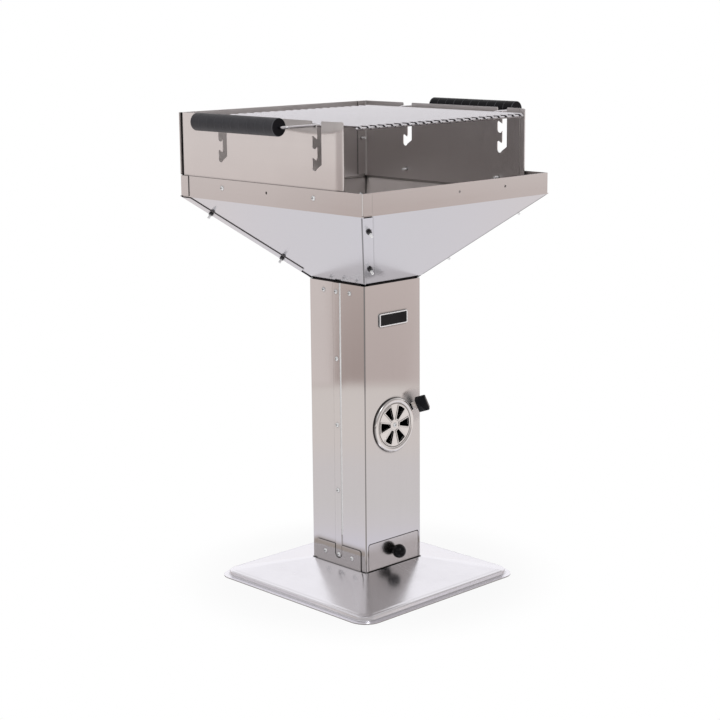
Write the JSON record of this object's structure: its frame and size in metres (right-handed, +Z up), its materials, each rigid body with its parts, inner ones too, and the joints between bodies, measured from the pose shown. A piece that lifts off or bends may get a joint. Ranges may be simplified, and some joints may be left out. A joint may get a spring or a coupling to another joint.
{
  "type": "park bbq grill pedestal",
  "caption": "Pedestal charcoal grill: pressed foot, square column with ash drawer and air vent, funnel fire bowl, slotted wind guard, lift-out grate with roller grips.",
  "frame": {"origin": "on the floor, on the axis of the square column", "axes": "+Z up; -Y is the front, with the ash drawer, the air vent and the guard's open side; +X to the right seen from the front"},
  "size_m": [0.652, 0.496, 0.9188],
  "materials": {
    "foot": "polished",
    "column": "satin",
    "drawer": "satin",
    "vent": "polished",
    "bowl": "satin",
    "guard": "satin",
    "fastener": "bright",
    "wire": "bright",
    "badge_frame": "bright",
    "badge_field": "gloss",
    "knob": "gloss",
    "grip": "satin"
  },
  "bodies": {
    "body": {"base_plate": "foot", "column_front_shell": "column", "column_rear_shell": "column", "seam_screws": "fastener", "foot_screws": "fastener", "neck_screws": "fastener", "drawer_runners": "drawer", "vent_cover": "vent", "vent_spacer": "fastener", "vent_pivot_screw": "fastener", "vent_pivot_nut": "fastener", "name_plate": "badge_frame", "name_plate_inlay": "badge_field", "hopper_front_panel": "bowl", "hopper_right_panel": "bowl", "hopper_rear_panel": "bowl", "hopper_left_panel": "bowl", "hip_bolts": "fastener", "hip_nuts": "fastener", "guard_left_wall": "guard", "guard_right_wall": "guard", "guard_rear_wall": "guard", "rim_screws": "fastener", "guard_corner_screws": "fastener"},
    "ash_drawer": {"ash_drawer_front": "drawer", "ash_tray": "drawer", "drawer_knob": "knob", "drawer_knob_screw": "fastener"},
    "shutter": {"vent_disc": "vent", "vent_knob": "knob"},
    "coals": {"coal_grate": "wire"},
    "grate": {"cooking_grate": "wire", "left_handle_wire": "wire", "right_handle_wire": "wire"},
    "grip_left": {"left_grip": "grip"},
    "grip_right": {"right_grip": "grip"}
  },
  "joints": [
    {"name": "ash_drawer_slide", "type": "slide", "parent": "body", "child": "ash_drawer", "axis": [0, -1, 0], "range_m": [0, 0.13]},
    {"name": "shutter_turn", "type": "hinge", "parent": "body", "child": "shutter", "pos_m": [0, -0.0765, 0.318], "axis": [0, -1, 0], "range_deg": [0, 30]},
    {"name": "coal_grate_lift", "type": "slide", "parent": "body", "child": "coals", "axis": [0, 0, 1], "range_m": [0, 0.2]},
    {"name": "cooking_grate_lift", "type": "slide", "parent": "body", "child": "grate", "axis": [0, 0, 1], "range_m": [0, 0.15]},
    {"name": "left_grip_turn", "type": "hinge", "parent": "grate", "child": "grip_left", "pos_m": [-0.31, 0, 0.9028], "axis": [0, 1, 0], "continuous": true},
    {"name": "right_grip_turn", "type": "hinge", "parent": "grate", "child": "grip_right", "pos_m": [0.31, 0, 0.9028], "axis": [0, 1, 0], "continuous": true}
  ]
}
